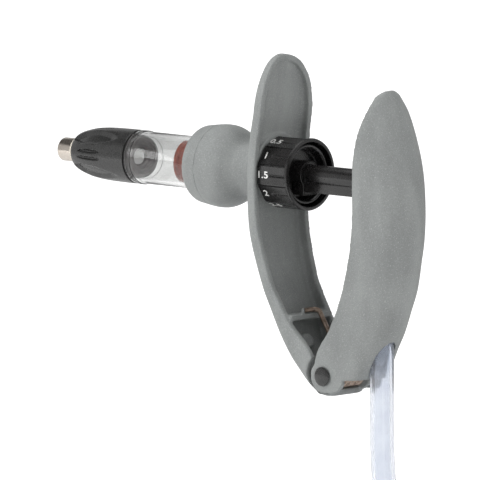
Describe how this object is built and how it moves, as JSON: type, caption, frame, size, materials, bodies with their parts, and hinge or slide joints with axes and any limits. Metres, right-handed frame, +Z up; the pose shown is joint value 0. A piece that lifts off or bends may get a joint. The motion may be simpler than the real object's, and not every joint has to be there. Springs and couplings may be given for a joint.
{
  "type": "automatic dosing syringe",
  "caption": "Hand-held livestock dosing syringe with squeeze handles, clear barrel, dose dial, lock nozzle and a feed hose from a bottle.",
  "frame": {"origin": "palm face of the rear handle, level with the barrel's axis", "axes": "+X from the nozzle back to the palm, along the barrel; +Z up, away from the handles' hinge; +Y to the side away from the pin's domed head"},
  "size_m": [0.1833, 0.1534, 0.2108],
  "materials": {
    "grey_nylon": "grey glass-filled nylon, satin with fine speckle",
    "black_acetal": "black acetal, satin",
    "charcoal_nylon": "charcoal nylon, satin",
    "clear_barrel": "clear polished plastic",
    "seal_rubber": "terracotta silicone rubber",
    "nickel_brass": "nickel-plated brass",
    "spring_steel": "bright spring steel",
    "bronze_wire": "brown tempered spring wire",
    "cream_washer": "cream nylon washer",
    "white_acetal": "white acetal",
    "hose": "translucent soft hose"
  },
  "bodies": {
    "rear_handle": {"rear_handle": "grey_nylon", "hinge_pin": "charcoal_nylon", "pin_cap": "charcoal_nylon", "handle_spring": "bronze_wire", "spring_sleeve": "white_acetal", "hose_riser": "hose", "feed_hose": "hose", "hose_coil": "hose", "hose_tail": "hose", "bottle_connector": "white_acetal"},
    "front_handle": {"front_handle": "grey_nylon", "barrel_collar": "grey_nylon", "barrel": "clear_barrel", "barrel_seal": "black_acetal", "front_nut": "charcoal_nylon", "front_gasket": "black_acetal", "luer_nozzle": "nickel_brass", "nozzle_washer": "cream_washer", "outlet_valve_seat": "grey_nylon", "outlet_valve_spring": "spring_steel", "dose_stop": "spring_steel", "detent_spring": "spring_steel", "detent_ball": "spring_steel"},
    "outlet_valve": {"outlet_valve": "white_acetal"},
    "dose_dial": {"dose_dial": "black_acetal", "dial_hub": "black_acetal", "dial_cap": "black_acetal", "dial_circlip": "spring_steel"},
    "piston_rod": {"piston_rod": "black_acetal", "rod_collar": "black_acetal", "dose_cam": "black_acetal", "piston_head": "black_acetal", "piston_seal": "seal_rubber", "inlet_valve_cage": "white_acetal", "inlet_valve_spring": "spring_steel"},
    "inlet_valve": {"inlet_valve": "white_acetal"},
    "feed_elbow": {"feed_elbow": "black_acetal"}
  },
  "joints": [
    {"name": "squeeze", "type": "hinge", "parent": "rear_handle", "child": "front_handle", "pos_m": [-0.0362, 0, -0.0753], "axis": [0, 1, 0], "range_deg": [0, 16.3], "stiffness_Nm_per_rad": 1.4, "springref_deg": -28.65, "deforming": ["handle_spring", "hose_riser"]},
    {"name": "outlet_lift", "type": "slide", "parent": "front_handle", "child": "outlet_valve", "axis": [-1, 0, 0], "range_m": [0, 0.0012], "stiffness_N_per_m": 150, "springref_m": -0.002, "deforming": ["outlet_valve_spring"]},
    {"name": "dial_turn", "type": "hinge", "parent": "front_handle", "child": "dose_dial", "pos_m": [-0.0614, 0, 0], "axis": [1, 0, 0], "continuous": true},
    {"name": "piston_stroke", "type": "slide", "parent": "dose_dial", "child": "piston_rod", "axis": [-1, 0, 0], "range_m": [0, 0.022]},
    {"name": "inlet_lift", "type": "slide", "parent": "piston_rod", "child": "inlet_valve", "axis": [-1, 0, 0], "range_m": [0, 0.001], "stiffness_N_per_m": 100, "springref_m": -0.002, "deforming": ["inlet_valve_spring"]},
    {"name": "elbow_stroke", "type": "slide", "parent": "front_handle", "child": "feed_elbow", "axis": [-1, 0, 0], "range_m": [0, 0.022]}
  ],
  "couplings": [
    {"joint": "piston_stroke", "follows": "squeeze", "m_per_rad": 0.07732},
    {"joint": "elbow_stroke", "follows": "squeeze", "m_per_rad": 0.07732}
  ]
}
